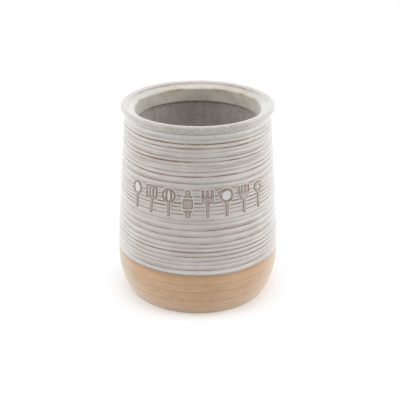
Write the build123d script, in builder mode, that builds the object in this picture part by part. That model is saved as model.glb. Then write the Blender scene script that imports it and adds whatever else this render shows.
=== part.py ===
from build123d import *
import os
from math import cos, radians, sin

# A stoneware utensil crock: an open jar for spoons and other kitchen tools.
# Its clay body is bare round the foot, and glazed from a line above the belly
# up over a ribbed wall and a thick rim. A liner glaze coats the inside. Eight
# small clay reliefs of kitchen tools stand out of the front of the wall.
# The origin is at the middle of the foot, on the surface that the crock stands on.
# The front of the crock faces -Y.

# Driving sizes, in millimetres
crock_height = 167.0
foot_diameter = 120.0
belly_diameter = 138.2
belly_height = 36.0
shoulder_diameter = 120.4
rim_diameter = 127.6
mouth_diameter = 103.0

# The wall, the floor and the foot
wall_thickness = 5.0
wall_crown = 0.6
floor_thickness = 7.0
floor_flat_diameter = 88.0
foot_ring_width = 8.0
foot_recess = 2.0
foot_edge_round = 1.5

# The rim: its outer face, the seam on its top, the bevel and the neck below it.
# Its rounds are the clay's, and the glaze over them adds its thickness.
rim_height = 7.4
rim_overhang = 1.5
rim_underside_rise = 0.7
rim_clay_round = 1.2
rim_face_clay_round = 1.5
lip_clay_round = 0.3
seam_diameter = 114.8
seam_fall = 1.3
bevel_diameter = 105.2
bevel_fall = 4.9
bevel_clay_round = 0.6
neck_depth = 15.8
neck_edge_clay_round = 0.2
ledge_fall = 0.8

# The glazes: full in the hollows, thinner where they run off a crest
glaze_thickness = 0.8
glaze_on_crests = 0.4
glaze_line_rise = 4.5

# The ribs: how far each kind stands out of the wall, and its width as a share of the
# glazed wall's height. The fine ribs are in the glaze alone: behind the reliefs the
# clay is turned smooth, so that they have a seat.
rib_root = 0.15
wide_rib_rise = 0.45
narrow_rib_rise = 0.40
fine_rib_rise = 0.25
faint_rib_rise = 0.15
wide_rib_width_share = 0.034
narrow_rib_width_share = 0.025
fine_rib_width_share = 0.022
faint_rib_width_share = 0.025

# The reliefs: how high one is and where its middle lies, as shares of the glazed wall's
# height, then how wide it is and how far it stands out of the wall
relief_height_share = 0.20
relief_middle_share = 0.523
relief_width = 13.0
relief_proud = 1.0
relief_ground = 0.4
relief_spacing_degrees = 14.0
handle_width = 2.8
wire_width = 1.4

# Radii and heights that follow from the sizes above
foot_radius = foot_diameter / 2
belly_radius = belly_diameter / 2
shoulder_radius = shoulder_diameter / 2
rim_radius = rim_diameter / 2
seam_radius = seam_diameter / 2
bevel_radius = bevel_diameter / 2
mouth_radius = mouth_diameter / 2
wall_top = crock_height - rim_height
neck_bottom = crock_height - neck_depth
chamber_top = neck_bottom - ledge_fall
glaze_line_height = belly_height + glaze_line_rise
glazed_wall_height = wall_top - glaze_line_height
relief_height = glazed_wall_height * relief_height_share
relief_middle = glaze_line_height + glazed_wall_height * relief_middle_share


def wall_radius(height):
    """Radius of the wall's surface between its ribs, from the belly up."""
    share = (height - belly_height) / (wall_top - belly_height)
    straight = belly_radius + (shoulder_radius - belly_radius) * share
    return straight + 4 * wall_crown * share * (1 - share)


def wall_slope(height):
    """Change of that radius with height: below zero, as the wall leans in."""
    span = wall_top - belly_height
    share = (height - belly_height) / span
    return (shoulder_radius - belly_radius + 4 * wall_crown * (1 - 2 * share)) / span


def wall_points(low, high, inset):
    """Control points of the wall's curve between two heights, set in from it."""
    middle = (low + high) / 2
    corner = wall_radius(low) + wall_slope(low) * (middle - low)
    return [
        (wall_radius(low) - inset, low),
        (corner - inset, middle),
        (wall_radius(high) - inset, high),
    ]


def foot_points():
    """Control points of the curve from the foot up to the belly."""
    lift = belly_height / 2
    return [
        (foot_radius, 0),
        (belly_radius - wall_slope(belly_height) * lift, belly_height - lift),
        (belly_radius, belly_height),
    ]


def rim_points(depth):
    """Corners from the wall's top round to the seam, set in from the surface."""
    crest_share = 1.4
    upright_share = 1.6
    round_size = rim_clay_round + glaze_thickness
    return [
        (wall_radius(wall_top + depth) - depth, wall_top + depth),
        (shoulder_radius + rim_overhang - depth, wall_top + rim_underside_rise + depth),
        (rim_radius - depth, crock_height - round_size * upright_share),
        (rim_radius - depth, crock_height - depth),
        (rim_radius - round_size * crest_share, crock_height - depth),
        (seam_radius, crock_height - seam_fall - depth),
    ]


def neck_points(depth):
    """Corners from the seam down the bevel and the neck to the chamber's top."""
    return [
        (seam_radius, crock_height - seam_fall - depth),
        (bevel_radius + depth, crock_height - bevel_fall - depth),
        (mouth_radius + depth, neck_bottom + depth),
        (wall_radius(chamber_top + depth) - wall_thickness + depth, chamber_top + depth),
    ]


def chamber_points(depth):
    """Control points of the chamber's wall, from the belly up to the ledge."""
    return wall_points(belly_height, chamber_top + depth, wall_thickness - depth)


def floor_points(depth):
    """Control points of the curve from the flat floor up to the belly, inside."""
    inner_belly = belly_radius - wall_thickness + depth
    floor = floor_thickness - depth
    return [
        (floor_flat_diameter / 2, floor),
        (inner_belly - wall_slope(belly_height) * (belly_height - floor), floor),
        (inner_belly, belly_height),
    ]


def rim_rounds(depth):
    """Radii at the four corners of the rim, from its lip to the top of its crest."""
    clay = [lip_clay_round, rim_face_clay_round, rim_clay_round, rim_face_clay_round]
    return [size + glaze_thickness - depth for size in clay]


def neck_rounds(depth):
    """Radii at the bevel's edge and at the neck's lower edge."""
    clay = [bevel_clay_round, neck_edge_clay_round]
    return [size + glaze_thickness - depth for size in clay]


# Each kind of rib: its width and how far it stands out of the wall
rib_sizes = {
    "wide": (glazed_wall_height * wide_rib_width_share, wide_rib_rise),
    "narrow": (glazed_wall_height * narrow_rib_width_share, narrow_rib_rise),
    "fine": (glazed_wall_height * fine_rib_width_share, fine_rib_rise),
    "faint": (glazed_wall_height * faint_rib_width_share, faint_rib_rise),
}

# Each rib's kind, and its height as a share of the wall from the glaze line up
rib_shares = [
    ("faint", 0.045),
    ("faint", 0.076),
    ("narrow", 0.106),
    ("narrow", 0.139),
    ("narrow", 0.169),
    ("narrow", 0.203),
    ("wide", 0.243),
    ("wide", 0.293),
    ("wide", 0.341),
    ("faint", 0.381),
    ("narrow", 0.409),
    ("fine", 0.445),
    ("fine", 0.472),
    ("fine", 0.499),
    ("fine", 0.525),
    ("fine", 0.551),
    ("fine", 0.577),
    ("fine", 0.603),
    ("wide", 0.631),
    ("wide", 0.673),
    ("narrow", 0.714),
    ("narrow", 0.746),
    ("faint", 0.781),
    ("narrow", 0.816),
    ("wide", 0.851),
    ("faint", 0.886),
    ("narrow", 0.908),
    ("narrow", 0.940),
    ("faint", 0.969),
]


def rib_height(share):
    """Height of a rib's middle."""
    return glaze_line_height + glazed_wall_height * share


def rib(height, width, rise, inset):
    """One rib's section: a low arch whose ends are set a little into the wall."""
    low = height - width / 2
    high = height + width / 2
    with BuildLine() as outline:
        arch = ThreePointArc(
            (wall_radius(low) - inset - rib_root, low),
            (wall_radius(height) - inset + rise, height),
            (wall_radius(high) - inset - rib_root, high),
        )
        Line(arch @ 1, arch @ 0)
    make_face(outline.edges())


def glazed_ribs():
    """All ribs as the glaze shows them."""
    for kind, share in rib_shares:
        width, rise = rib_sizes[kind]
        rib(rib_height(share), width, rise, 0)


def clay_ribs():
    """The ribs of the clay under the glaze, which is thinner on their crests."""
    for kind, share in rib_shares:
        if kind != "fine":
            width, rise = rib_sizes[kind]
            clay_rise = rise + glaze_thickness - glaze_on_crests
            rib(rib_height(share), width - glaze_thickness, clay_rise, glaze_thickness)


clay_rib_heights = [rib_height(share) for kind, share in rib_shares if kind != "fine"]
seat_low = max(height for height in clay_rib_heights if height < relief_middle)
seat_high = min(height for height in clay_rib_heights if height > relief_middle)


def seat_radius(height):
    """Radius of the straight wall behind the reliefs, carried on past its ends."""
    share = (height - seat_low) / (seat_high - seat_low)
    return wall_radius(seat_low) + (wall_radius(seat_high) - wall_radius(seat_low)) * share


def ribbed_wall_points(depth):
    """Corners of the wall behind its ribs, one under each clay rib, set in from it."""
    heights = [glaze_line_height, *clay_rib_heights, wall_top + depth]
    return [(wall_radius(height) - depth, height) for height in heights]


# The clay body
bare_edge = (wall_radius(glaze_line_height), glaze_line_height)
covered_edge = (wall_radius(glaze_line_height) - glaze_thickness, glaze_line_height)
floor_flat_radius = floor_flat_diameter / 2
clay_floor = floor_thickness - glaze_thickness
foot_ring_inner = foot_radius - foot_ring_width

with BuildPart() as stoneware_body:
    with BuildSketch(Plane.XZ) as clay_section:
        with BuildLine():
            Polyline(
                (0, foot_recess),
                (foot_ring_inner - foot_recess, foot_recess),
                (foot_ring_inner, 0),
                (foot_radius, 0),
            )
            Bezier(*foot_points())
            Bezier(*wall_points(belly_height, glaze_line_height, 0))
            Line(bare_edge, covered_edge)
            Polyline(*ribbed_wall_points(glaze_thickness))
            FilletPolyline(*rim_points(glaze_thickness), radius=rim_rounds(glaze_thickness))
            FilletPolyline(*neck_points(glaze_thickness), radius=neck_rounds(glaze_thickness))
            Bezier(*chamber_points(glaze_thickness))
            Bezier(*floor_points(glaze_thickness))
            Polyline((floor_flat_radius, clay_floor), (0, clay_floor), (0, foot_recess))
        make_face()
        foot_corner = clay_section.vertices().group_by(Axis.Y)[0].sort_by(Axis.X)[-1]
        fillet(foot_corner, radius=foot_edge_round)
        clay_ribs()
    revolve(axis=Axis.Z)

# The liner glaze: from the seam on the rim down the neck and all over the chamber
with BuildPart() as liner_glaze:
    with BuildSketch(Plane.XZ):
        with BuildLine():
            FilletPolyline(*neck_points(0), radius=neck_rounds(0))
            Bezier(*chamber_points(0))
            Bezier(*floor_points(0))
            Polyline(
                (floor_flat_radius, floor_thickness),
                (0, floor_thickness),
                (0, clay_floor),
                (floor_flat_radius, clay_floor),
            )
            Bezier(*floor_points(glaze_thickness))
            Bezier(*chamber_points(glaze_thickness))
            FilletPolyline(*neck_points(glaze_thickness), radius=neck_rounds(glaze_thickness))
            Line(neck_points(glaze_thickness)[0], neck_points(0)[0])
        make_face()
    revolve(axis=Axis.Z)


# The reliefs are drawn upright, each about its own middle: a handle below, a head above
head_height = relief_height / 2
head_middle = relief_height / 4
handle_foot = -relief_height / 2


def handle():
    """The handle, a bar with round ends from the foot up into the head."""
    with Locations((0, (handle_foot + head_middle) / 2)):
        SlotOverall(head_middle - handle_foot, handle_width, rotation=90)


def spoon_outline():
    width_share = 0.82
    handle()
    with Locations((0, head_middle)):
        Ellipse(relief_width * width_share / 2, head_height / 2)


def spoon_hollows():
    width_share = 0.50
    height_share = 0.68
    with Locations((0, head_middle)):
        Ellipse(relief_width * width_share / 2, head_height * height_share / 2)


def whisk_outline():
    width_share = 0.92
    handle()
    with Locations((0, head_middle)):
        Ellipse(relief_width * width_share / 2, head_height / 2)


def whisk_hollows():
    outer_loop_share = 0.92
    inner_loop_share = 0.44
    gap_height = head_height / 2 - wire_width
    with Locations((0, head_middle)):
        Ellipse(relief_width * outer_loop_share / 2 - wire_width, gap_height)
        Ellipse(relief_width * inner_loop_share / 2, head_height / 2, mode=Mode.SUBTRACT)
        Ellipse(relief_width * inner_loop_share / 2 - wire_width, gap_height)


def turner_outline():
    width_share = 0.88
    corner_share = 0.16
    handle()
    with Locations((0, head_middle)):
        RectangleRounded(relief_width * width_share, head_height, relief_width * corner_share)


def turner_hollows():
    slot_height_share = 0.62
    spacing_share = 0.25
    with Locations((0, head_middle)):
        with GridLocations(relief_width * spacing_share, 0, 3, 1):
            SlotOverall(head_height * slot_height_share, wire_width, rotation=90)


def rolling_pin_outline():
    width_share = 0.64
    length_share = 0.60
    corner_share = 0.14
    knob_share = 0.19
    RectangleRounded(
        relief_width * width_share,
        relief_height * length_share,
        relief_width * corner_share,
    )
    SlotOverall(relief_height, handle_width, rotation=90)
    with Locations((0, handle_foot + relief_width * knob_share)):
        Circle(relief_width * knob_share)
    with Locations((0, -handle_foot - relief_width * knob_share)):
        Circle(relief_width * knob_share)


def rolling_pin_hollows():
    place_share = 0.20
    with GridLocations(0, 2 * relief_height * place_share, 1, 2):
        Rectangle(relief_width, wire_width)


def fork_outline():
    palm_width_share = 0.80
    palm_height_share = 0.50
    tine_spacing_share = 0.30
    tine_height_share = 0.78
    tine_width_share = 0.78
    handle()
    with Locations((0, head_height * palm_height_share / 2)):
        Ellipse(relief_width * palm_width_share / 2, head_height * palm_height_share / 2)
    with Locations((0, head_height - head_height * tine_height_share / 2)):
        with GridLocations(relief_width * tine_spacing_share, 0, 3, 1):
            SlotOverall(
                head_height * tine_height_share,
                handle_width * tine_width_share,
                rotation=90,
            )


def fork_hollows():
    place_share = 0.20
    with Locations((0, head_height * place_share)):
        Circle(wire_width / 2)


def ladle_outline():
    bowl_share = 0.46
    lip_place_share = 0.40
    lip_share = 0.17
    handle()
    with Locations((0, head_middle)):
        Circle(relief_width * bowl_share)
    with Locations((-relief_width * lip_place_share, head_middle + relief_width * lip_share)):
        Circle(relief_width * lip_share)


def ladle_hollows():
    bowl_share = 0.31
    with Locations((0, head_middle)):
        Circle(relief_width * bowl_share)


def brush_outline():
    band_width_share = 0.62
    band_height_share = 0.30
    hair_width_share = 0.84
    hair_height_share = 0.72
    corner_share = 0.10
    handle()
    with Locations((0, head_height * band_height_share / 2)):
        Rectangle(relief_width * band_width_share, head_height * band_height_share)
    with Locations((0, head_height - head_height * hair_height_share / 2)):
        RectangleRounded(
            relief_width * hair_width_share,
            head_height * hair_height_share,
            relief_width * corner_share,
        )


def brush_hollows():
    spacing_share = 0.26
    groove_height_share = 0.52
    groove_width_share = 0.75
    with Locations((0, head_height - head_height * groove_height_share / 2)):
        with GridLocations(relief_width * spacing_share, 0, 3, 1):
            Rectangle(wire_width * groove_width_share, head_height * groove_height_share)


def pasta_server_outline():
    bowl_share = 0.34
    tooth_share = 0.10
    handle()
    with Locations((0, head_middle)):
        Ellipse(relief_width * bowl_share, head_height / 2 - relief_width * tooth_share)
        with PolarLocations(relief_width * bowl_share, 7, start_angle=-30, angular_range=240):
            Circle(relief_width * tooth_share)


def pasta_server_hollows():
    hole_share = 0.14
    with Locations((0, head_middle)):
        Circle(relief_width * hole_share)


def relief_section(proud):
    """Section of a ring from inside the clay wall out to a height above its surface."""
    low = relief_middle - relief_height
    high = relief_middle + relief_height
    with BuildLine() as outline:
        Polyline(
            (seat_radius(low) + proud, low),
            (seat_radius(high) + proud, high),
            (seat_radius(high) - wall_thickness / 2, high),
            (seat_radius(low) - wall_thickness / 2, low),
            close=True,
        )
    make_face(outline.edges())


# Two rings round the wall: one to the floor of the hollows, one to the full relief
with BuildPart() as ground_ring:
    with BuildSketch(Plane.XZ):
        relief_section(relief_ground)
    revolve(axis=Axis.Z)

with BuildPart() as relief_ring:
    with BuildSketch(Plane.XZ):
        relief_section(relief_proud)
    revolve(axis=Axis.Z)

# The reliefs from left to right, and the angle of each round the wall
reliefs = [
    ("spoon", spoon_outline, spoon_hollows),
    ("turner", turner_outline, turner_hollows),
    ("whisk", whisk_outline, whisk_hollows),
    ("rolling_pin", rolling_pin_outline, rolling_pin_hollows),
    ("fork", fork_outline, fork_hollows),
    ("ladle", ladle_outline, ladle_hollows),
    ("brush", brush_outline, brush_hollows),
    ("pasta_server", pasta_server_outline, pasta_server_hollows),
]


def relief_plane(place):
    """Upright plane on the crock's axis that faces out where a relief stands."""
    angle = radians(relief_spacing_degrees * (place - (len(reliefs) - 1) / 2))
    return Plane(
        origin=(0, 0, relief_middle),
        x_dir=(cos(angle), sin(angle), 0),
        z_dir=(sin(angle), -cos(angle), 0),
    )


finished = {"stoneware_body": stoneware_body, "liner_glaze": liner_glaze}
figures = []
for place, (tool, outline, hollows) in enumerate(reliefs):
    plane = relief_plane(place)
    with BuildPart() as figure:
        with BuildSketch(plane):
            outline()
        extrude(amount=belly_diameter)
    with BuildPart() as hollow:
        with BuildSketch(plane):
            hollows()
        extrude(amount=belly_diameter)
        add(ground_ring.part, mode=Mode.SUBTRACT)
    with BuildPart() as relief:
        add(figure.part)
        add(relief_ring.part, mode=Mode.INTERSECT)
        add(hollow.part, mode=Mode.SUBTRACT)
        add(stoneware_body.part, mode=Mode.SUBTRACT)
    figures.append(figure.part)
    finished[tool + "_relief"] = relief

# The outer glaze: from the glaze line up over the ribs and the rim to the seam.
# The reliefs stand through it, so it is cut out round them.
with BuildPart() as outer_glaze:
    with BuildSketch(Plane.XZ):
        with BuildLine():
            Line(covered_edge, bare_edge)
            Polyline(*ribbed_wall_points(0))
            FilletPolyline(*rim_points(0), radius=rim_rounds(0))
            Line(rim_points(0)[-1], rim_points(glaze_thickness)[-1])
            FilletPolyline(*rim_points(glaze_thickness), radius=rim_rounds(glaze_thickness))
            Polyline(*ribbed_wall_points(glaze_thickness))
        make_face()
        glazed_ribs()
        add(clay_section.sketch, mode=Mode.SUBTRACT)
    revolve(axis=Axis.Z)
    add(figures, mode=Mode.SUBTRACT)
finished["outer_glaze"] = outer_glaze

# Each finished piece is written under its own name
os.makedirs("parts", exist_ok=True)
for label, piece in finished.items():
    piece.part.label = label
    export_step(piece.part, "parts/" + label + ".step")
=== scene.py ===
from math import atan2, cos, exp, hypot, pi, radians, sin, tan, tau

import bmesh
import bpy
from mathutils import Euler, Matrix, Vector, noise
from mathutils.bvhtree import BVHTree


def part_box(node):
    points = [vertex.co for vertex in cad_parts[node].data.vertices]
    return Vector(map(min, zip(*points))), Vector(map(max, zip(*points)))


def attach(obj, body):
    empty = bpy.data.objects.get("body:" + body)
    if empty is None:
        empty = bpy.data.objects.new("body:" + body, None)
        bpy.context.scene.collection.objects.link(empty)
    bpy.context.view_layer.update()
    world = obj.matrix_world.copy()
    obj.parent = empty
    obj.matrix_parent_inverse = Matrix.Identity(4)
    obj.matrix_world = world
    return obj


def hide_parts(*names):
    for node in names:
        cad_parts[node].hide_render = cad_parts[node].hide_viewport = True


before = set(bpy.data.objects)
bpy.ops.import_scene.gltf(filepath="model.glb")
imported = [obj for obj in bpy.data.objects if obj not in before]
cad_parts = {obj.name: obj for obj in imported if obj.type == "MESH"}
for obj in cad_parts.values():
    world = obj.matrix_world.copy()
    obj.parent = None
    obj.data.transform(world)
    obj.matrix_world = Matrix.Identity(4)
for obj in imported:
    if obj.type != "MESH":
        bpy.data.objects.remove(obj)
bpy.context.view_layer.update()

# The clay body: one piece of buff stoneware from the foot ring to the rim, thrown on a
# wheel and turned. Only the foot and the band below the glaze line stay bare, and the
# turning tool has left shallow lines round that band.
mm = 0.001
crock_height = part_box("outer_glaze")[1].z
glaze_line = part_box("outer_glaze")[0].z
foot_radius = 60.0 * mm
belly_radius = 69.1 * mm
belly_height = 36.0 * mm
shoulder_radius = 60.2 * mm
wall_top = crock_height - 7.4 * mm
wall_crown = 0.6 * mm
wall_thickness = 5.0 * mm
glaze_depth = 0.8 * mm
foot_edge = 1.5 * mm
foot_recess = 2.0 * mm
foot_ring = 8.0 * mm
floor_height = 7.0 * mm
floor_flat = 44.0 * mm
sectors = 12
sector_steps = 20


def wall_slope(height):
    """Change of the wall's radius with height, from the belly up."""
    span = wall_top - belly_height
    share = (height - belly_height) / span
    return (shoulder_radius - belly_radius + 4 * wall_crown * (1 - 2 * share)) / span


def wall_radius(height):
    """Radius of the crock's outside between its ribs, from the foot to the rim."""
    if height < belly_height:
        share = height / belly_height
        corner = belly_radius - wall_slope(belly_height) * belly_height / 2
        low = foot_radius * (1 - share) ** 2
        return low + 2 * corner * share * (1 - share) + belly_radius * share**2
    share = (height - belly_height) / (wall_top - belly_height)
    straight = belly_radius + (shoulder_radius - belly_radius) * share
    return straight + 4 * wall_crown * share * (1 - share)


def levels(low, high, spacing):
    """Evenly spaced values from low to high, with both ends."""
    count = max(1, round(abs(high - low) / spacing))
    return [low + (high - low) * step / count for step in range(count + 1)]


def rounded(corners, radii, arc_steps=6):
    """An outline's corners, each one between the ends replaced by an arc."""
    outline = [corners[0]]
    for before, corner, after, radius in zip(corners, corners[1:], corners[2:], radii):
        here = Vector(corner)
        back = (Vector(before) - here).normalized()
        ahead = (Vector(after) - here).normalized()
        half_angle = back.angle(ahead) / 2
        centre = here + (back + ahead).normalized() * radius / sin(half_angle)
        start = here + back * radius / tan(half_angle) - centre
        end = here + ahead * radius / tan(half_angle) - centre
        for step in range(arc_steps + 1):
            outline.append(tuple(centre + start.slerp(end, step / arc_steps) * radius))
    outline.append(corners[-1])
    return outline


def refined(outline, spacing):
    """The same outline with points added, so that none lie far apart."""
    points = []
    for (radius, height), (next_radius, next_height) in zip(outline, outline[1:]):
        length = max(hypot(next_radius - radius, next_height - height), 0.01 * mm)
        for share in levels(0, 1, spacing / length)[:-1]:
            points.append(
                (radius + (next_radius - radius) * share, height + (next_height - height) * share)
            )
    return points + [outline[-1]]


def turned(outline):
    """The closed outline of a section, spun into one sector that is repeated all round."""
    mesh = bmesh.new()
    points = [mesh.verts.new((radius, 0, height)) for radius, height in outline]
    edges = [mesh.edges.new(pair) for pair in zip(points, points[1:] + points[:1])]
    axis = {"cent": (0, 0, 0), "axis": (0, 0, 1)}
    bmesh.ops.spin(mesh, geom=points + edges, angle=tau / sectors, steps=sector_steps, **axis)
    bmesh.ops.spin(
        mesh,
        geom=mesh.verts[:] + mesh.edges[:] + mesh.faces[:],
        angle=tau * (sectors - 1) / sectors,
        steps=sectors - 1,
        use_duplicate=True,
        **axis,
    )
    bmesh.ops.remove_doubles(mesh, verts=mesh.verts, dist=0.01 * mm)
    bmesh.ops.recalc_face_normals(mesh, faces=mesh.faces)
    return mesh


def angle_of(point):
    """Angle of a point round the crock: zero at the front, growing to the right."""
    return atan2(point.x, -point.y)


def drift(angle, waves, row):
    """Smooth change round the crock, about -1 to 1, that closes on itself."""
    return noise.noise(Vector((cos(angle) * waves, sin(angle) * waves, row)))


# Points less than this deep under the ribless wall count as its outside
skin = 0.5 * mm


def on_outside(point):
    """Whether a point lies on the crock's outside, and not in its wall or its chamber."""
    return hypot(point.x, point.y) >= wall_radius(point.z) - skin


def soft_band(value, middle, width):
    """1 at the middle, falling smoothly to 0 a few widths away."""
    return exp(-(((value - middle) / width) ** 2))


def push_out(vert, amount):
    """Moves a vertex away from the crock's axis."""
    radius = hypot(vert.co.x, vert.co.y)
    vert.co.x *= 1 + amount / radius
    vert.co.y *= 1 + amount / radius


def finish_piece(mesh, name, material):
    """Makes the mesh a smooth-shaded piece of the crock with its material."""
    data = bpy.data.meshes.new(name)
    mesh.to_mesh(data)
    mesh.free()
    data.shade_smooth()
    data.materials.append(material)
    piece = bpy.data.objects.new(name, data)
    bpy.context.scene.collection.objects.link(piece)
    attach(piece, "root")
    return piece


def make_node(tree, kind, sockets=None, **settings):
    """One shader node: its settings, and what each of its inputs holds or is linked to."""
    node = tree.nodes.new(kind)
    for name, value in settings.items():
        setattr(node, name, value)
    for name, value in (sockets or {}).items():
        if isinstance(value, bpy.types.NodeSocket):
            tree.links.new(value, node.inputs[name])
        else:
            node.inputs[name].default_value = value
    return node


def colour(red, green, blue):
    """A colour as a picture shows it, 0 to 255, in the linear values of a shader."""
    shown = [part / 255 for part in (red, green, blue)]
    linear = [part / 12.92 if part < 0.04045 else ((part + 0.055) / 1.055) ** 2.4 for part in shown]
    return (*linear, 1)


def mixed(tree, cover, first, second):
    """First colour where the cover is 0, second where it is 1."""
    mix = make_node(tree, "ShaderNodeMix", {0: cover, 6: first, 7: second}, data_type="RGBA")
    return mix.outputs[2]


def ranged(tree, value, low, high, to_low=0.0, to_high=1.0):
    """The value's stretch from low to high, smoothly spread from to_low to to_high."""
    sockets = {
        "Value": value,
        "From Min": low,
        "From Max": high,
        "To Min": to_low,
        "To Max": to_high,
    }
    spread = make_node(tree, "ShaderNodeMapRange", sockets, interpolation_type="SMOOTHSTEP")
    return spread.outputs["Result"]


def times(tree, first, second):
    """Product of two values."""
    product = make_node(tree, "ShaderNodeMath", {0: first, 1: second}, operation="MULTIPLY")
    return product.outputs[0]


def new_group(name, inputs, outputs):
    """An empty node group with named float inputs and outputs."""
    group = bpy.data.node_groups.new(name, "ShaderNodeTree")
    for label, value in inputs.items():
        socket = group.interface.new_socket(label, in_out="INPUT", socket_type="NodeSocketFloat")
        socket.default_value = value
    for label in outputs:
        group.interface.new_socket(label, in_out="OUTPUT", socket_type="NodeSocketFloat")
    entry = group.nodes.new("NodeGroupInput")
    leave = group.nodes.new("NodeGroupOutput")
    return group, entry.outputs, leave.inputs


def specks_group():
    """Iron specks: round spots of uneven size in a few of a pattern's cells."""
    inputs = {"Scale": 400.0, "Share": 0.2, "Size": 0.3}
    group, entry, leave = new_group("iron specks", inputs, ["Mask"])
    place = make_node(group, "ShaderNodeTexCoord").outputs["Object"]
    sockets = {"Vector": place, "Scale": entry["Scale"]}
    cells = make_node(group, "ShaderNodeTexVoronoi", sockets)
    split = make_node(group, "ShaderNodeSeparateColor", {"Color": cells.outputs["Color"]})
    sockets = {0: split.outputs[0], 1: entry["Share"]}
    chosen = make_node(group, "ShaderNodeMath", sockets, operation="LESS_THAN")
    reach = times(group, split.outputs[1], entry["Size"])
    sockets = {0: reach, 1: cells.outputs["Distance"]}
    inside = make_node(group, "ShaderNodeMath", sockets, operation="SUBTRACT")
    spot = ranged(group, inside.outputs[0], 0.0, 0.12)
    group.links.new(times(group, chosen.outputs[0], spot), leave["Mask"])
    return group


def cloud_group():
    """Slow change of tone over a surface, with a finer grain; stretch draws it into streaks."""
    inputs = {"Scale": 40.0, "Detail": 3.0, "Stretch": 1.0}
    group, entry, leave = new_group("cloud", inputs, ["Value"])
    place = make_node(group, "ShaderNodeTexCoord").outputs["Object"]
    factors = make_node(group, "ShaderNodeCombineXYZ", {0: 1.0, 1: 1.0, 2: entry["Stretch"]})
    sockets = {0: place, 1: factors.outputs[0]}
    stretched = make_node(group, "ShaderNodeVectorMath", sockets, operation="MULTIPLY").outputs[0]
    sockets = {"Vector": stretched, "Scale": entry["Scale"], "Detail": entry["Detail"]}
    pattern = make_node(group, "ShaderNodeTexNoise", sockets)
    group.links.new(ranged(group, pattern.outputs["Fac"], 0.3, 0.7), leave["Value"])
    return group


iron_specks = specks_group()
clouds = cloud_group()


def specks(tree, scale, share, size):
    """Places the specks in a material."""
    sockets = {"Scale": scale, "Share": share, "Size": size}
    return placed_group(tree, iron_specks, sockets, "Mask")


def cloud(tree, scale, detail, stretch=1.0):
    """Places the cloud in a material."""
    sockets = {"Scale": scale, "Detail": detail, "Stretch": stretch}
    return placed_group(tree, clouds, sockets, "Value")


def placed_group(tree, group, values, output):
    """One of the groups above with its own values."""
    node = make_node(tree, "ShaderNodeGroup", node_tree=group)
    for name, value in values.items():
        node.inputs[name].default_value = value
    return node.outputs[output]


def mask(tree, name):
    """A mask that the mesh carries at its vertices."""
    return make_node(tree, "ShaderNodeAttribute", attribute_name=name).outputs["Fac"]


def new_material(name):
    """A new material, with its tree and its shader."""
    material = bpy.data.materials.new(name)
    material.use_nodes = True
    return material, material.node_tree, material.node_tree.nodes["Principled BSDF"]


def bumped(tree, shader, height, strength, distance):
    """Gives the shader's surface a fine relief."""
    sockets = {"Height": height, "Strength": strength, "Distance": distance}
    bump = make_node(tree, "ShaderNodeBump", sockets)
    tree.links.new(bump.outputs["Normal"], shader.inputs["Normal"])


def paler_outline(tree, base, pale, strength):
    """The surface's colour, paler where it turns away: a painted sheen of the white room."""
    facing = make_node(tree, "ShaderNodeLayerWeight", {"Blend": 0.5}).outputs["Facing"]
    return mixed(tree, ranged(tree, facing, 0.3, 1.0, 0.0, strength), base, pale)


def layered(tree, base, layers):
    """The base colour with other colours laid over it, each by its cover and strength."""
    for cover, strength, tone in layers:
        base = mixed(tree, times(tree, cover, strength), base, tone)
    return base


def bare_clay_material():
    """Buff clay fired bare: warm sand colour with fine grog and a few iron specks."""
    material, tree, shader = new_material("bare clay")
    light_sand = colour(218, 183, 150)
    dark_sand = colour(202, 166, 131)
    painted_bounce_light = colour(226, 196, 167)
    toasted = colour(194, 138, 88)
    painted_line_shade = colour(164, 126, 94)
    streak = colour(188, 152, 117)
    grog = colour(180, 146, 117)
    iron = colour(120, 90, 68)
    layers = [
        # Painted light bounced up from the table: paler towards the foot
        (mask(tree, "foot"), 1.0, painted_bounce_light),
        (mask(tree, "flash"), 0.95, toasted),
        # Painted shade: darker in the turning lines and along the glaze's lower edge
        (mask(tree, "line"), 0.65, painted_line_shade),
        (cloud(tree, 80, 5, 13), 0.5, streak),
        (cloud(tree, 900, 2), 0.3, grog),
        (specks(tree, 600, 0.10, 0.45), 0.5, iron),
    ]
    body = layered(tree, mixed(tree, cloud(tree, 50, 4), light_sand, dark_sand), layers)
    # Painted sheen: paler towards the outline
    body = paler_outline(tree, body, colour(228, 219, 206), 0.8)
    roughness = ranged(tree, cloud(tree, 200, 2), 0.0, 1.0, 0.62, 0.78)
    tree.links.new(body, shader.inputs["Base Color"])
    tree.links.new(roughness, shader.inputs["Roughness"])
    bumped(tree, shader, cloud(tree, 1400, 2), 0.25, 0.15 * mm)
    return material


rim_front = 63.8 * mm
rim_top_radius = 61.0 * mm
seam_radius = 57.4 * mm
bevel_radius = 52.6 * mm
mouth_radius = 51.5 * mm
underside_run = 1.5 * mm
underside_rise = 0.7 * mm
front_height = crock_height - 3.2 * mm
seam_height = crock_height - 1.3 * mm
bevel_height = crock_height - 4.9 * mm
neck_bottom = crock_height - 15.8 * mm
chamber_top = neck_bottom - 0.8 * mm


def rim_corners(depth):
    """Corners of the rim from the wall's top round to the seam, set in by a depth."""
    return [
        (wall_radius(wall_top) - depth, wall_top + depth),
        (shoulder_radius + underside_run - depth, wall_top + underside_rise + depth),
        (rim_front - depth, front_height),
        (rim_front - depth, crock_height - depth),
        (rim_top_radius, crock_height - depth),
        (seam_radius, seam_height - depth),
    ]


def neck_corners(depth):
    """Corners from the seam down the bevel and the neck to the chamber's top."""
    return [
        (seam_radius, seam_height - depth),
        (bevel_radius + depth, bevel_height - depth),
        (mouth_radius + depth, neck_bottom + depth),
        (wall_radius(chamber_top) - wall_thickness + depth, chamber_top + depth),
    ]


chamber_spacing = 2 * mm
floor_spacing = 4 * mm


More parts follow.
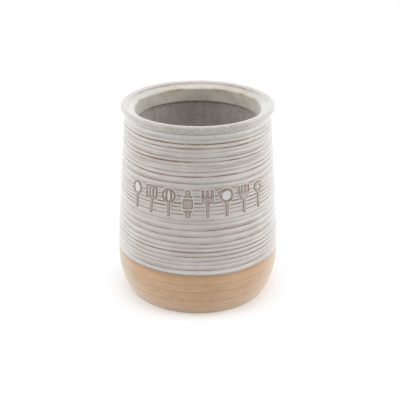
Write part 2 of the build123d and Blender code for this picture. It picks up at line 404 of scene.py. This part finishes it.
def chamber_outline(depth):
    """The chamber's wall and floor, from the ledge down to the middle of the floor."""
    wall = [
        (wall_radius(height) - wall_thickness + depth, height)
        for height in levels(chamber_top + depth, belly_height, chamber_spacing)
    ]
    floor = floor_height - depth
    inner_belly = belly_radius - wall_thickness + depth
    corner = inner_belly - wall_slope(belly_height) * (belly_height - floor)
    curve = []
    for share in levels(1, 0, 0.05):
        low = floor_flat * (1 - share) ** 2
        radius = low + 2 * corner * share * (1 - share) + inner_belly * share**2
        curve.append((radius, floor + (belly_height - floor) * share**2))
    flat = [(radius, floor) for radius in levels(floor_flat, 0, floor_spacing)]
    return wall[1:] + curve[1:] + flat[1:]


foot_inner_edge = 1.0 * mm
bare_spacing = 0.35 * mm
covered_spacing = 6 * mm
covered_start = 1.2 * mm
tuck_depth = 0.3 * mm
tuck_start = 0.1 * mm
tuck_end = 0.6 * mm


def clay_outline():
    """Section of the clay body: bare outside below the glaze line, set in above it."""
    ring_inner = foot_radius - foot_ring
    foot = rounded(
        [
            (0, foot_recess),
            (ring_inner - foot_recess, foot_recess),
            (ring_inner, 0),
            (foot_radius, 0),
            (wall_radius(2 * foot_edge), 2 * foot_edge),
        ],
        [foot_inner_edge, foot_inner_edge, foot_edge],
    )
    heights = levels(2 * foot_edge, glaze_line, bare_spacing)
    bare = [(wall_radius(height), height) for height in heights]
    tucked = [
        (wall_radius(glaze_line) - tuck_depth, glaze_line + tuck_start),
        (wall_radius(glaze_line) - tuck_depth, glaze_line + tuck_end),
    ]
    covered = [
        (wall_radius(height) - glaze_depth, height)
        for height in levels(glaze_line + covered_start, wall_top, covered_spacing)
    ]
    rim = rim_corners(glaze_depth)[1:]
    neck = neck_corners(glaze_depth)[1:]
    return foot[:-1] + bare + tucked + covered + rim + neck + chamber_outline(glaze_depth)


# Height, half width and depth of each turning line, in millimetres
turning_lines = [
    (6.4, 0.7, 0.12),
    (10.2, 0.6, 0.09),
    (15.2, 0.7, 0.36),
    (19.2, 0.6, 0.09),
    (22.0, 0.5, 0.10),
    (24.4, 0.6, 0.26),
    (27.6, 0.5, 0.08),
    (31.4, 0.6, 0.20),
    (35.0, 0.5, 0.09),
]


def turning_cut(angle, height):
    """How deep the turning lines cut at a point, all in millimetres."""
    cut = 0
    for place, width, depth in turning_lines:
        middle = place + 0.3 * drift(angle, 1.2, place)
        strength = 0.8 + 0.7 * drift(angle, 1.6, place + 40)
        cut += depth * strength * soft_band(height, middle, width)
    return cut


# Widths of the toasted clay, of the painted shade line under the glaze's edge and of the
# painted bounce light above the foot
flash_width = 3.0 * mm
shade_under_glaze_edge_width = 0.5 * mm
bounce_light_width = 12 * mm


def clay_body():
    """The body's mesh, with the turning lines cut into the bare band."""
    mesh = turned(clay_outline())
    flash, line, foot = (mesh.verts.layers.float.new(name) for name in ("flash", "line", "foot"))
    for vert in mesh.verts:
        height = vert.co.z
        if height > glaze_line + tuck_start / 2 or not on_outside(vert.co):
            continue
        angle = angle_of(vert.co)
        cut = turning_cut(angle, height / mm)
        slow = 0.12 * drift(angle, 2.0, height / mm * 0.12)
        unevenness = slow + 0.05 * drift(angle, 5, height / mm * 0.6)
        edge = min(1, max(0, height / foot_edge))
        push_out(vert, (unevenness * edge - cut) * mm)
        # Painted shade: darker by each turning line's depth, and in a line under the glaze's edge,
        # most on the left
        shade_under_glaze_edge = soft_band(height, glaze_line, shade_under_glaze_edge_width) * (0.6 - 0.4 * sin(angle))
        vert[line] = min(1, cut * 3.2 + shade_under_glaze_edge)
        vert[flash] = soft_band(height, glaze_line, flash_width) * (0.7 + 0.3 * cos(angle))
        # Painted bounce light from the table, strongest at the foot
        vert[foot] = soft_band(height, 0, bounce_light_width)
    piece = finish_piece(mesh, "clay_body", bare_clay_material())
    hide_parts("stoneware_body")


clay_body()

# The liner glaze: poured into the fired crock and out again, so that it coats the
# bevel, the neck, the chamber and the floor. It is worn thin on the bevel's lower edge.


def glaze_material(name, pale, shade, speck_share):
    """A pale glaze over buff clay, which shows brown where the glaze runs thin."""
    material, tree, shader = new_material(name)
    pool_and_highlight_white = colour(228, 228, 226)
    taupe = colour(178, 164, 155)
    brown = colour(124, 94, 70)
    bare = colour(168, 131, 87)
    fine_grain = colour(176, 170, 162)
    gritty = colour(116, 99, 84)
    iron = colour(128, 108, 90)
    painted_shade = colour(104, 92, 80)
    uneven = ranged(tree, cloud(tree, 130, 4, 5), 0.0, 1.0, 0.84, 1.14)
    broken = times(tree, mask(tree, "crest"), uneven)
    grains = ranged(tree, cloud(tree, 900, 2), 0.3, 0.9)
    layers = [
        # Pooled glaze, and a painted highlight above the coat's lower edge
        (mask(tree, "pool_and_highlight"), 0.8, pool_and_highlight_white),
        (ranged(tree, broken, 0.10, 0.55), 1.0, taupe),
        (ranged(tree, broken, 0.55, 1.15), 1.0, brown),
        (mask(tree, "worn"), 1.0, bare),
        (cloud(tree, 800, 3), 0.22, fine_grain),
        (mask(tree, "grit"), grains, gritty),
        (specks(tree, 700, speck_share, 0.5), 0.45, iron),
        # Painted shade under the rim, under the liner's ledge and along the coat's lower edge
        (mask(tree, "shade"), 0.8, painted_shade),
    ]
    coat = layered(tree, mixed(tree, cloud(tree, 60, 4), pale, shade), layers)
    # Painted sheen: paler towards the outline
    coat = paler_outline(tree, coat, colour(245, 245, 245), 0.62)
    tree.links.new(coat, shader.inputs["Base Color"])
    tree.links.new(ranged(tree, broken, 0.1, 0.9, 0.32, 0.55), shader.inputs["Roughness"])
    bumped(tree, shader, cloud(tree, 500, 3), 0.12, 0.2 * mm)
    return material


def glaze_masks(mesh):
    """The masks that a glaze's material reads from its mesh."""
    names = ("crest", "pool_and_highlight", "shade", "worn", "grit")
    return [mesh.verts.layers.float.new(name) for name in names]


seam_width = 0.7 * mm


def seam_line(radius, angle):
    """Brown line where the two glazes meet on top of the rim, strongest at the back."""
    back = min(1, max(0, (-cos(angle) - 0.3) / 0.4))
    strength = 0.1 + back * (1.0 + 0.6 * drift(angle, 2.5, 3.1))
    return soft_band(radius, seam_radius, seam_width) * strength


neck_rounding = [1.4 * mm, 1.0 * mm]
neck_spacing = 0.8 * mm


def liner_outline():
    """Section of the liner: its surface, and back along the clay under it."""
    shown = refined(rounded(neck_corners(0), neck_rounding, 8), neck_spacing)
    under = neck_corners(glaze_depth) + chamber_outline(glaze_depth)
    return shown + chamber_outline(0) + under[::-1]


# Angle round the crock and half width of each worn stretch of the bevel's edge, in degrees
worn_stretches = [(-158, 10), (158, 10), (113, 7), (134, 4), (-112, 4)]


def worn(angle):
    """How worn the bevel's lower edge is, 0 to 1."""
    stretches = [
        soft_band((angle - radians(place) + pi) % tau - pi, 0, radians(width))
        for place, width in worn_stretches
    ]
    return max(stretches) * (1.0 + 0.5 * drift(angle, 9.0, 5.1))


# The worn edge lies a little outside the bevel's lower corner. The bevel is painted paler
# between the two insets. The chamber's grit lies in upright streaks and fades with
# depth.
worn_outset = 0.3 * mm
worn_width = 1.1 * mm
bevel_inset = 0.8 * mm
seam_inset = 0.4 * mm
ledge_width = 0.9 * mm
dim_depth = 35 * mm
streak_width = 4 * mm


def liner_glaze():
    """The liner's mesh, with its worn edge, its seam and the shaded ledge marked."""
    mesh = turned(liner_outline())
    crest, pool_and_highlight, shade, worn_away, grit = glaze_masks(mesh)
    for vert in mesh.verts:
        radius = hypot(vert.co.x, vert.co.y)
        angle = angle_of(vert.co)
        height = vert.co.z
        if height > neck_bottom:
            reach = hypot(radius - bevel_radius - worn_outset, height - bevel_height)
            edge = soft_band(reach, 0, worn_width)
            thin = 0.4 * edge * max(0, 0.5 + drift(angle, 4.0, 7.3))
            vert[crest] = thin + seam_line(radius, angle)
            vert[worn_away] = min(1, max(0, worn(angle)) * edge)
            on_bevel = bevel_radius + bevel_inset < radius < seam_radius - seam_inset
            vert[pool_and_highlight] = 0.45 if on_bevel else 0.0
        else:
            deep = min(1, (chamber_top - height) / dim_depth)
            streak = noise.noise(Vector((vert.co.x, vert.co.y, height / 8)) / streak_width)
            vert[crest] = 0.12
            vert[pool_and_highlight] = 0.5
            # Painted shade just under the neck's ledge
            vert[shade] = soft_band(height, chamber_top, ledge_width)
            vert[grit] = 0.45 - 0.35 * deep + 0.4 * streak
    cream = colour(207, 202, 191)
    dark_cream = colour(188, 182, 169)
    material = glaze_material("liner glaze", cream, dark_cream, 0.35)
    piece = finish_piece(mesh, "liner_coat", material)
    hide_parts("liner_glaze")


liner_glaze()

# The reliefs: eight kitchen tools pressed in clay and joined to the front of the wall
# before glazing. The glaze breaks to taupe on their faces and brown along their edges.
relief_nodes = sorted(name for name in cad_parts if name.endswith("_relief"))
relief_grain = 0.24 * mm
weld_distance = 0.002 * mm


def relief_copy(name):
    """The relief's solid as one even mesh, its edges softened as pressed clay is."""
    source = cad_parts[name].data.copy()
    carrier = bpy.data.objects.new("relief source", source)
    bpy.context.scene.collection.objects.link(carrier)
    mesh = bmesh.new()
    mesh.from_mesh(source)
    bmesh.ops.remove_doubles(mesh, verts=mesh.verts, dist=weld_distance)
    mesh.to_mesh(source)
    mesh.free()
    remesh = carrier.modifiers.new("even", "REMESH")
    remesh.mode = "VOXEL"
    remesh.voxel_size = relief_grain
    evaluated = carrier.evaluated_get(bpy.context.evaluated_depsgraph_get())
    mesh = bmesh.new()
    mesh.from_mesh(evaluated.to_mesh())
    bpy.data.objects.remove(carrier)
    return mesh


def smoothed(mesh, turns):
    """Softens the whole mesh a number of times."""
    for turn in range(turns):
        bmesh.ops.smooth_vert(
            mesh,
            verts=mesh.verts,
            factor=0.5,
            use_axis_x=True,
            use_axis_y=True,
            use_axis_z=True,
        )


# A vertex lies fully on an edge where more smoothing moves it this far. The face sets in
# at the first of these heights out of the wall and is full at the second. Lumps follow.
edge_movement = 0.06 * mm
face_start = 0.4 * mm
face_full = 0.7 * mm
lump_width = 2.5 * mm
lump_height = 0.05 * mm


def relief(name, material):
    """One relief's mesh, with its face and its edges marked for the glaze."""
    mesh = relief_copy(name)
    smoothed(mesh, 3)
    kept = [vert.co.copy() for vert in mesh.verts]
    smoothed(mesh, 24)
    crest, pool_and_highlight = glaze_masks(mesh)[:2]
    for vert, place in zip(mesh.verts, kept):
        edge = min(1, (place - vert.co).length / edge_movement)
        proud = hypot(place.x, place.y) - wall_radius(place.z)
        top = min(1, max(0, (proud - face_start) / (face_full - face_start)))
        vert[crest] = top * (0.36 + 0.7 * edge)
        vert[pool_and_highlight] = 1 - top
        vert.co = place
        push_out(vert, noise.noise(place / lump_width) * lump_height)
    piece = finish_piece(mesh, name.replace("_relief", "_figure"), material)
    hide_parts(name)
    return piece


relief_grey = colour(206, 204, 199)
relief_shade = colour(196, 193, 187)
relief_material = glaze_material("relief glaze", relief_grey, relief_shade, 0.10)
figures = [relief(name, relief_material) for name in relief_nodes]

# The outer glaze: a pale grey coat dipped over the ribbed wall. It pools white in the
# hollows and round the reliefs, and runs thin on the ribs, where it breaks to brown.

# Each kind of rib: half its flat crest, the width of its slope and its height in
# millimetres, then how far the glaze breaks on it and along its lower edge
rib_kinds = {
    "wide": (1.10, 0.7, 0.42, 0.37, 1.15),
    "medium": (0.60, 0.6, 0.36, 0.45, 0.80),
    "narrow": (0.24, 0.6, 0.42, 1.12, 0.0),
    "fine": (0.20, 0.5, 0.28, 1.05, 0.0),
    "faint": (0.70, 0.6, 0.18, 0.32, 0.40),
}
# Height in millimetres and kind of each rib
ribs = [
    (42.2, "faint"),
    (46.3, "wide"),
    (50.0, "faint"),
    (53.5, "medium"),
    (57.4, "medium"),
    (61.0, "narrow"),
    (65.0, "medium"),
    (69.7, "wide"),
    (75.6, "wide"),
    (81.2, "wide"),
    (86.0, "faint"),
    (89.0, "faint"),
    (93.6, "fine"),
    (97.0, "fine"),
    (100.0, "fine"),
    (103.2, "fine"),
    (106.2, "fine"),
    (109.2, "fine"),
    (112.6, "faint"),
    (115.4, "wide"),
    (120.6, "wide"),
    (125.4, "narrow"),
    (129.1, "fine"),
    (132.4, "faint"),
    (134.5, "faint"),
    (137.4, "narrow"),
    (141.6, "wide"),
    (145.4, "faint"),
    (148.2, "narrow"),
    (151.9, "narrow"),
    (155.5, "faint"),
]
rib_reach = 3.0


def rib_at(angle, height, row):
    """How high a rib stands at a point, and how far the glaze breaks there."""
    place, kind = ribs[row]
    flat, slope, rise, strength, edge_strength = rib_kinds[kind]
    middle = place + 0.30 * drift(angle, 1.1, row * 3.7)
    flat *= 1 + 0.5 * drift(angle, 2.3, row * 5.1)
    slope *= 1 + 0.3 * drift(angle, 2.9, row * 4.3)
    away = max(0, abs(height - middle) - flat) / slope
    if away >= 1.5:
        return 0, 0
    shown = soft_band(away, 0, 0.8)
    lower_edge = edge_strength * soft_band(height, middle - flat, 0.32)
    patch = 0.86 + 0.30 * sin(angle) ** 2
    patch += 0.55 * drift(angle, 1.7, row * 2.9 + 60) + 0.2 * drift(angle, 5.0, row * 1.9)
    return shown * rise * min(1, 0.5 + 0.5 * patch), (shown * strength + lower_edge) * patch


def ribs_at(angle, height):
    """How high the ribs stand at a point, and how far the glaze breaks there."""
    rise = 0
    broken = 0
    for row, (place, kind) in enumerate(ribs):
        if abs(height - place) < rib_reach:
            rib_rise, rib_broken = rib_at(angle, height, row)
            rise = max(rise, rib_rise)
            broken = max(broken, rib_broken)
    return rise, broken


coat_spacing = 0.5 * mm
lip_depth = 0.4 * mm
lip_drop = 0.05 * mm
lip_rounding = 0.25 * mm
overlap_under_rim = 0.6 * mm
inside_spacing = 9 * mm


def wall_outline():
    """Section of the coat on the wall, from its lower edge up into the rim."""
    lip = [(wall_radius(glaze_line) - lip_depth, glaze_line - lip_drop)]
    heights = levels(glaze_line + lip_rounding, wall_top, coat_spacing)
    outside = [(wall_radius(height), height) for height in heights]
    inside = [
        (wall_radius(height) - glaze_depth, height)
        for height in levels(wall_top + overlap_under_rim, glaze_line, inside_spacing)
    ]
    return lip + outside + inside


# How far round the reliefs the coat's mesh is finer, and how far the glaze pools there
relief_margin = 2.5 * mm
relief_margin_angle = 0.05
pool_reach = 1.5 * mm


def relief_trees():
    """For each relief the stretch of angle that it takes up, and a tree of its faces."""
    trees = []
    for figure in figures:
        points = [vert.co for vert in figure.data.vertices]
        faces = [face.vertices[:] for face in figure.data.polygons]
        angles = [angle_of(point) for point in points]
        tree = BVHTree.FromPolygons(points, faces)
        start = min(angles) - relief_margin_angle
        end = max(angles) + relief_margin_angle
        trees.append((start, end, tree))
    return trees


def relief_heights():
    """Lowest and highest height of the coat near the reliefs."""
    heights = [vert.co.z for figure in figures for vert in figure.data.vertices]
    return min(heights) - relief_margin, max(heights) + relief_margin


def finer_round_reliefs(mesh, low, high, trees):
    """Divides the coat's faces near the reliefs, so that the glaze can pool there."""
    left = min(start for start, end, tree in trees)
    right = max(end for start, end, tree in trees)
    edges = {}
    for face in mesh.faces:
        middle = face.calc_center_median()
        if on_outside(middle) and low < middle.z < high and left < angle_of(middle) < right:
            edges.update(dict.fromkeys(face.edges))
    bmesh.ops.subdivide_edges(mesh, edges=list(edges), cuts=2, use_grid_fill=True)


def closeness(point, trees):
    """How close a point is to the nearest relief, 1 where it touches."""
    angle = angle_of(point)
    near = 0
    for start, end, tree in trees:
        if start < angle < end:
            distance = tree.find_nearest(point)[3]
            near = max(near, 1 - min(1, distance / pool_reach))
    return near * near * (3 - 2 * near)


groove_width = 0.5 * mm


def groove(height):
    """Shade of the groove under the rim."""
    return 0.8 * soft_band(height, wall_top, groove_width)


# The coat has one pale band below the rim, a painted highlight above its lower edge and a
# painted shade line along that edge, which is a little thicker and wanders up and down
edge_width = 1.5 * mm
edge_thickening = 0.15 * mm
edge_wander = 0.35 * mm
upper_band_drop = 1.6 * mm
upper_band_width = 1.1 * mm
edge_highlight_rise = 2.0 * mm
edge_highlight_width = 0.8 * mm
edge_line_rise = 0.3 * mm
edge_line_width = 0.8 * mm


def wall_glaze(material):
    """The coat on the ribbed wall."""
    mesh = turned(wall_outline())
    trees = relief_trees()
    low, high = relief_heights()
    finer_round_reliefs(mesh, low, high, trees)
    crest, pool_and_highlight, shade = glaze_masks(mesh)[:3]
    for vert in mesh.verts:
        height = vert.co.z
        if height > wall_top or not on_outside(vert.co):
            continue
        angle = angle_of(vert.co)
        rise, broken = ribs_at(angle, height / mm)
        near = closeness(vert.co, trees) if low < height < high else 0
        edge = soft_band(height, glaze_line, edge_width)
        slow = 0.07 * drift(angle, 4.0, height / mm * 0.5)
        unevenness = slow + 0.10 * drift(angle, 1.5, height / mm * 0.1)
        push_out(vert, (rise * (1 - near) + unevenness) * mm + edge_thickening * edge)
        vert.co.z += edge_wander * edge * drift(angle, 3.0, 12.5)
        vert[crest] = max(0, broken * (1 - near) * (1 - edge))
        upper_band = 0.6 * soft_band(height, wall_top - upper_band_drop, upper_band_width)
        # Painted highlight on the coat's thicker ridge above its lower edge
        painted_edge_highlight = soft_band(height, glaze_line + edge_highlight_rise, edge_highlight_width)
        vert[pool_and_highlight] = min(1, near * 1.2 + painted_edge_highlight + upper_band)
        # Painted shade in the groove under the rim and along the coat's lower edge, most on the
        # left
        edge_line = soft_band(height, glaze_line + edge_line_rise, edge_line_width)
        vert[shade] = min(1, max(groove(height), edge_line * (0.6 - 0.5 * sin(angle))))
    piece = finish_piece(mesh, "wall_glaze", material)
    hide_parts("outer_glaze")


rim_rounding = [1.1 * mm, 2.3 * mm, 2.0 * mm, 2.3 * mm]
rim_spacing = 0.7 * mm
front_band = 2 * mm
taupe_rise = 0.5 * mm
taupe_width = 6.5 * mm
rim_wander = 0.08 * mm


def rim_glaze(material):
    """The same coat over the rim, from the groove under it to the seam on its top."""
    shown = refined(rounded(rim_corners(0), rim_rounding, 8), rim_spacing)
    mesh = turned(shown + rim_corners(glaze_depth)[::-1])
    crest, pool_and_highlight, shade, worn_away, grit = glaze_masks(mesh)
    for vert in mesh.verts:
        radius = hypot(vert.co.x, vert.co.y)
        angle = angle_of(vert.co)
        height = vert.co.z
        if height > front_height and radius < rim_front - front_band:
            vert[crest] = 0.20 + 1.3 * seam_line(radius, angle)
            vert[grit] = 0.12
        else:
            vert[crest] = 0.10 + 0.27 * soft_band(height, wall_top + taupe_rise, taupe_width)
            vert[grit] = 0.28 + 0.3 * drift(angle, 3.0, 21.0)
        vert[shade] = groove(height)
        push_out(vert, rim_wander * drift(angle, 2.5, height / mm * 0.4))
    piece = finish_piece(mesh, "rim_glaze", material)
    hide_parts("outer_glaze")


outer_grey = colour(213, 209, 204)
outer_shade = colour(202, 197, 191)
outer_material = glaze_material("outer glaze", outer_grey, outer_shade, 0.06)
wall_glaze(outer_material)
rim_glaze(outer_material)

# The set: a white table that runs on into the background, wide soft boxes at both
# sides and above, and a camera in front that looks down at the crock.


# Distances from the crock's middle between which the table fades to white for the camera
shadow_start = 62 * mm
shadow_end = 88 * mm
table_size = 3.0


def table():
    """The table: the camera sees it white but for the shadow close round the crock."""
    mesh = bmesh.new()
    bmesh.ops.create_grid(mesh, x_segments=2, y_segments=2, size=table_size)
    data = bpy.data.meshes.new("table")
    mesh.to_mesh(data)
    mesh.free()
    floor = bpy.data.objects.new("table", data)
    bpy.context.scene.collection.objects.link(floor)
    material, tree, shader = new_material("table white")
    tree.nodes.remove(shader)
    diffuse = make_node(tree, "ShaderNodeBsdfDiffuse", {"Color": (0.88, 0.90, 0.915, 1)})
    glow = make_node(tree, "ShaderNodeEmission", {"Strength": 0.16})
    white = make_node(tree, "ShaderNodeEmission", {"Strength": 1.0})
    seen = make_node(tree, "ShaderNodeLightPath").outputs["Is Camera Ray"]
    place = make_node(tree, "ShaderNodeTexCoord").outputs["Object"]
    away = make_node(tree, "ShaderNodeVectorMath", {0: place}, operation="LENGTH").outputs["Value"]
    near = make_node(tree, "ShaderNodeAddShader", {0: diffuse.outputs[0], 1: glow.outputs[0]})
    fade = ranged(tree, away, shadow_start, shadow_end)
    sockets = {0: fade, 1: near.outputs[0], 2: white.outputs[0]}
    table_seen = make_node(tree, "ShaderNodeMixShader", sockets)
    sockets = {0: seen, 1: diffuse.outputs[0], 2: table_seen.outputs[0]}
    choice = make_node(tree, "ShaderNodeMixShader", sockets)
    tree.links.new(choice.outputs[0], tree.nodes["Material Output"].inputs["Surface"])
    data.materials.append(material)


def surroundings():
    """A grey room that the camera and reflections see as white."""
    world = bpy.data.worlds.new("studio")
    world.use_nodes = True
    bpy.context.scene.world = world
    tree = world.node_tree
    path = make_node(tree, "ShaderNodeLightPath").outputs
    sockets = {0: path["Is Camera Ray"], 1: path["Is Glossy Ray"]}
    seen = make_node(tree, "ShaderNodeMath", sockets, operation="MAXIMUM").outputs[0]
    white = mixed(tree, seen, (0.42, 0.42, 0.42, 1), (1, 1, 1, 1))
    tree.links.new(white, tree.nodes["Background"].inputs["Color"])


def soft_box(name, place, turn, width, power):
    """One square lamp."""
    lamp = bpy.data.lights.new(name, "AREA")
    lamp.size = width
    lamp.energy = power
    box = bpy.data.objects.new(name, lamp)
    box.location = place
    box.rotation_euler = Euler([radians(part) for part in turn])
    bpy.context.scene.collection.objects.link(box)


def camera():
    """The camera, in front of the crock and above it, aimed at its middle."""
    distance = 0.828
    pitch = radians(23.72)
    aim = Vector((0, 0, 0.0780))
    lens = bpy.data.cameras.new("camera")
    lens.lens = 85.84
    lens.sensor_width = 36
    lens.shift_x = 0.0056
    viewer = bpy.data.objects.new("camera", lens)
    viewer.location = aim + Vector((0, -cos(pitch), sin(pitch))) * distance
    viewer.rotation_euler = Euler((pi / 2 - pitch, 0, 0))
    bpy.context.scene.collection.objects.link(viewer)
    bpy.context.scene.camera = viewer


table()
surroundings()
soft_box("left box", (-0.9, -0.1, 0.5), (0, -65, 0), 0.9, 5.2)
soft_box("right box", (0.9, -0.1, 0.5), (0, 65, 0), 0.9, 5.8)
soft_box("top box", (0, 0.1, 1.2), (0, 0, 0), 1.0, 5.2)
camera()
bpy.context.scene.view_settings.view_transform = "Standard"
